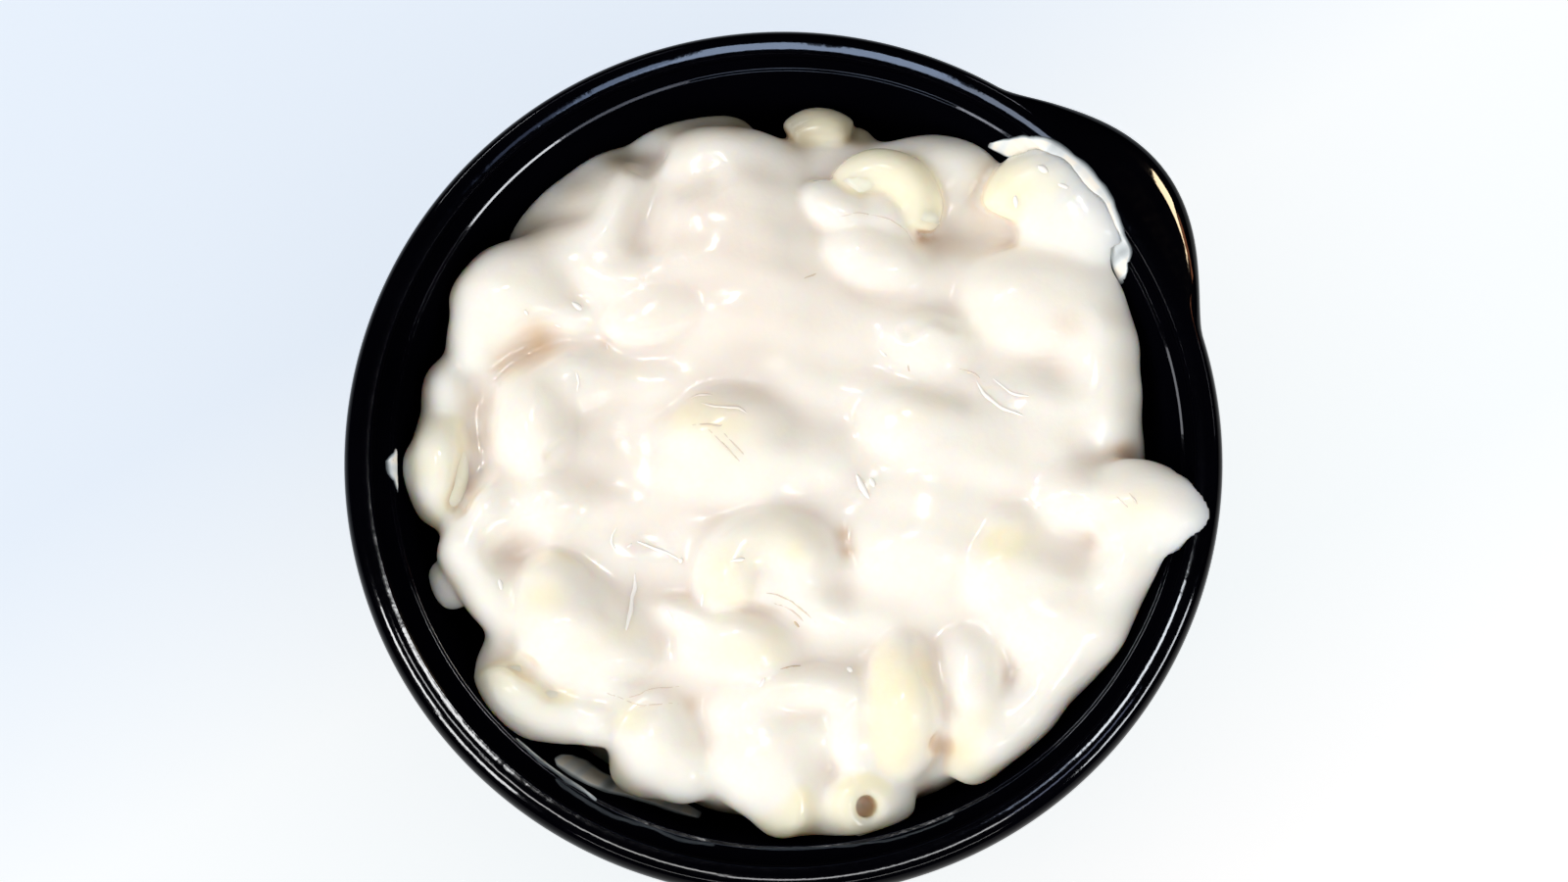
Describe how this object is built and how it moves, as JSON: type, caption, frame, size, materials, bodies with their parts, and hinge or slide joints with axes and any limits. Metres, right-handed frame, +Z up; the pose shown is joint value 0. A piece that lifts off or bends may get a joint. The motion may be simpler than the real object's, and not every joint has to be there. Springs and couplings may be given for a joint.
{
  "type": "mac and cheese",
  "caption": "Round black plastic side bowl with a thumb tab, heaped with elbow macaroni in thick white cheese sauce.",
  "frame": {"origin": "middle of the bowl's foot ring, on the surface that the bowl stands on", "axes": "+Z up out of the bowl's mouth, +X to the right seen from the front; the thumb tab lies between +X and +Y"},
  "size_m": [0.117, 0.117, 0.0415],
  "materials": {
    "bowl_plastic": "glossy black thermoformed polypropylene",
    "cheese_sauce": "thick creamy white cheese sauce with a wet sheen, over pale yellow macaroni"
  },
  "bodies": {
    "root": {"bowl": "bowl_plastic", "mac_and_cheese": "cheese_sauce"}
  },
  "joints": []
}
